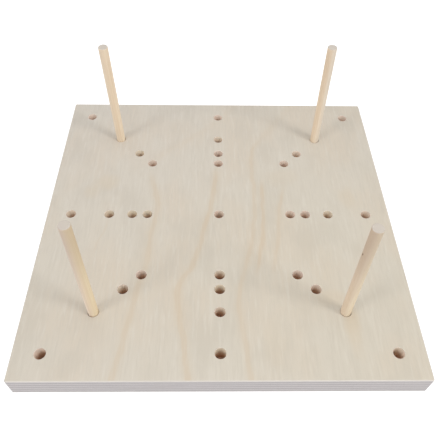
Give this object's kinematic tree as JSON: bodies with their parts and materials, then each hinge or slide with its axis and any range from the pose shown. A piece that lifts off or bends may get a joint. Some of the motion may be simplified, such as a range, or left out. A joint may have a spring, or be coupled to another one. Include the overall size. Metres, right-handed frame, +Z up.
{
  "type": "peg loom",
  "caption": "Square plywood board with peg holes on concentric squares, and straight wooden pegs that stand in the holes and lift out.",
  "frame": {"origin": "middle of the board's underside", "axes": "+Z up, out of the holes; +Y towards the back edge; +X to the right"},
  "size_m": [0.225, 0.225, 0.0933],
  "materials": {
    "birch_face": "sanded bare face veneer",
    "birch_long_ply": "sawn veneer edge",
    "birch_cross_ply": "sawn veneer edge",
    "dowel_wood": "sanded bare dowel"
  },
  "bodies": {
    "board": {"bottom_face_veneer": "birch_face", "cross_veneer_01": "birch_cross_ply", "long_veneer_02": "birch_long_ply", "cross_veneer_03": "birch_cross_ply", "long_veneer_04": "birch_long_ply", "cross_veneer_05": "birch_cross_ply", "long_veneer_06": "birch_long_ply", "cross_veneer_07": "birch_cross_ply", "long_veneer_08": "birch_long_ply", "cross_veneer_09": "birch_cross_ply", "top_face_veneer": "birch_face"},
    "peg_front_left": {"peg_front_left": "dowel_wood"},
    "peg_front_right": {"peg_front_right": "dowel_wood"},
    "peg_back_left": {"peg_back_left": "dowel_wood"},
    "peg_back_right": {"peg_back_right": "dowel_wood"}
  },
  "joints": [
    {"name": "peg_front_left_lift", "type": "slide", "parent": "board", "child": "peg_front_left", "axis": [0, 0, 1], "range_m": [0, 0.04]},
    {"name": "peg_front_right_lift", "type": "slide", "parent": "board", "child": "peg_front_right", "axis": [0, 0, 1], "range_m": [0, 0.04]},
    {"name": "peg_back_left_lift", "type": "slide", "parent": "board", "child": "peg_back_left", "axis": [0, 0, 1], "range_m": [0, 0.04]},
    {"name": "peg_back_right_lift", "type": "slide", "parent": "board", "child": "peg_back_right", "axis": [0, 0, 1], "range_m": [0, 0.04]}
  ]
}
